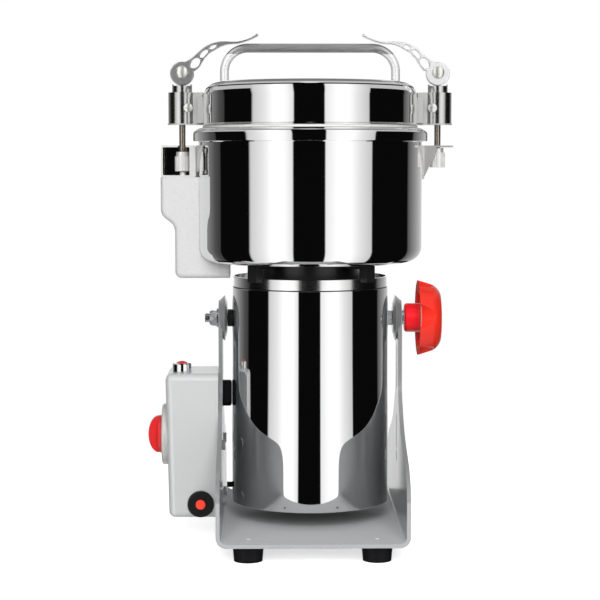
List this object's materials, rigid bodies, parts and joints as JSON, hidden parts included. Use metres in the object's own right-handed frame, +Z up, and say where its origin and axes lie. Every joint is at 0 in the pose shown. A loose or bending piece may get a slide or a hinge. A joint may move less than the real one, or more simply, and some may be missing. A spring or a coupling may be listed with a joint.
{
  "type": "swing grinding mill",
  "caption": "Swing-type high-speed grinding mill: mirror steel motor tube and lidded bowl that tilt between two arms of a grey stand, with cam-lever lid clamps.",
  "frame": {"origin": "on the floor, under the middle of the whole mill's outline seen from above", "axes": "+X towards the lock knob, -Y towards the front with the reset button, +Z up"},
  "size_m": [0.2738, 0.256, 0.4524],
  "materials": {
    "grey_paint": "silver-grey baked paint",
    "silver_dial": "satin",
    "rubber": "matte",
    "zinc": "zinc plated",
    "knurled_nut": "knurled, bright",
    "rod_steel": "threaded",
    "mirror_steel": "mirror-polished stainless steel",
    "polished_bracket": "polished stainless steel",
    "handle_steel": "polished stainless rod",
    "lever_steel": "tumbled cast stainless steel",
    "black_casting": "black enamel",
    "black_plastic": "moulded",
    "red_knob": "moulded, glossy",
    "red_timer": "moulded",
    "red_button": "moulded",
    "red_lens": "clear red",
    "white_plastic": "moulded",
    "silicone": "translucent white",
    "bearing_steel": "ground",
    "iron_core": "varnished laminations",
    "copper": "enamelled copper",
    "blade_steel": "ground"
  },
  "bodies": {
    "stand": {"base_frame": "grey_paint", "rubber_feet": "rubber", "stand_screws": "zinc", "control_box_shell": "grey_paint", "control_box_back": "grey_paint", "dial_plate": "silver_dial", "timer_mechanism": "black_plastic", "indicator_bezel": "polished_bracket", "indicator_lens": "red_lens", "reset_breaker": "black_plastic", "mains_gland": "black_plastic", "lead_grommet": "rubber"},
    "mill": {"motor_tube": "mirror_steel", "motor_top_cup": "mirror_steel", "motor_bottom_cap": "black_casting", "rubber_buffer": "rubber", "neck_spacer": "black_casting", "bowl_bolts": "zinc", "shaft_bearings": "bearing_steel", "stator_core": "iron_core", "stator_windings": "copper", "brush_gear": "black_plastic", "shaft_seal": "rubber", "bowl": "mirror_steel", "right_latch_bracket": "polished_bracket", "left_latch_housing": "polished_bracket", "interlock_cover": "grey_paint", "microswitch": "black_plastic", "left_pivot_stud": "zinc", "left_pivot_nut": "zinc", "left_pivot_spacer": "black_plastic", "right_pivot_nut": "zinc"},
    "knob": {"lock_knob": "red_knob", "lock_stud": "zinc"},
    "rotor": {"rotor_shaft": "bearing_steel", "armature": "iron_core", "commutator": "copper", "cooling_fan": "black_plastic", "lower_blade": "blade_steel", "upper_blade": "blade_steel", "blade_spacers": "blade_steel", "blade_nut": "blade_steel"},
    "lid": {"lid": "mirror_steel", "lid_gasket": "silicone", "lid_handle": "handle_steel", "left_clamp_barrel": "polished_bracket", "right_clamp_barrel": "polished_bracket", "clamp_screws": "zinc", "saddle_collars": "polished_bracket"},
    "left_rod": {"left_draw_rod": "rod_steel", "left_rod_nut": "knurled_nut"},
    "right_rod": {"right_draw_rod": "rod_steel", "right_rod_nut": "knurled_nut"},
    "left_lever": {"left_cam_lever": "lever_steel", "left_lever_pin": "polished_bracket"},
    "right_lever": {"right_cam_lever": "lever_steel", "right_lever_pin": "polished_bracket"},
    "interlock": {"interlock_pin": "white_plastic"},
    "timer": {"timer_knob": "red_timer"},
    "reset": {"reset_button": "red_button"}
  },
  "joints": [
    {"name": "tilt", "type": "hinge", "parent": "stand", "child": "mill", "pos_m": [0.0095, 0, 0.1984], "axis": [1, 0, 0], "range_deg": [-95, 95]},
    {"name": "lock_knob_turn", "type": "hinge", "parent": "mill", "child": "knob", "pos_m": [0.0095, 0, 0.1984], "axis": [1, 0, 0], "range_deg": [0, 360]},
    {"name": "rotor_spin", "type": "hinge", "parent": "mill", "child": "rotor", "pos_m": [0.0095, 0, 0.15], "axis": [0, 0, 1], "continuous": true},
    {"name": "lid_swing", "type": "hinge", "parent": "mill", "child": "lid", "pos_m": [-0.1048, 0, 0.386], "axis": [0, 0, 1], "range_deg": [0, 120]},
    {"name": "left_rod_drop", "type": "slide", "parent": "lid", "child": "left_rod", "axis": [0, 0, -1], "range_m": [0, 0.00116]},
    {"name": "right_rod_drop", "type": "slide", "parent": "lid", "child": "right_rod", "axis": [0, 0, -1], "range_m": [0, 0.00116]},
    {"name": "left_lever_turn", "type": "hinge", "parent": "left_rod", "child": "left_lever", "pos_m": [-0.1048, 0, 0.4184], "axis": [0, -1, 0], "range_deg": [0, 95]},
    {"name": "right_lever_turn", "type": "hinge", "parent": "right_rod", "child": "right_lever", "pos_m": [0.1238, 0, 0.4184], "axis": [0, 1, 0], "range_deg": [0, 95]},
    {"name": "interlock_pin_press", "type": "slide", "parent": "mill", "child": "interlock", "axis": [0, 0, -1], "range_m": [0, 0.0012]},
    {"name": "timer_knob_turn", "type": "hinge", "parent": "stand", "child": "timer", "pos_m": [-0.1239, 0, 0.093], "axis": [1, 0, 0], "range_deg": [0, 300]},
    {"name": "reset_button_press", "type": "slide", "parent": "stand", "child": "reset", "axis": [0, 1, 0], "range_m": [0, 0.002], "stiffness_N_per_m": 500}
  ],
  "couplings": [
    {"joint": "left_lever_turn", "follows": "left_rod_drop", "rad_per_m": 1428.6},
    {"joint": "right_lever_turn", "follows": "right_rod_drop", "rad_per_m": 1428.6},
    {"joint": "interlock_pin_press", "follows": "left_rod_drop", "ratio": 1}
  ]
}
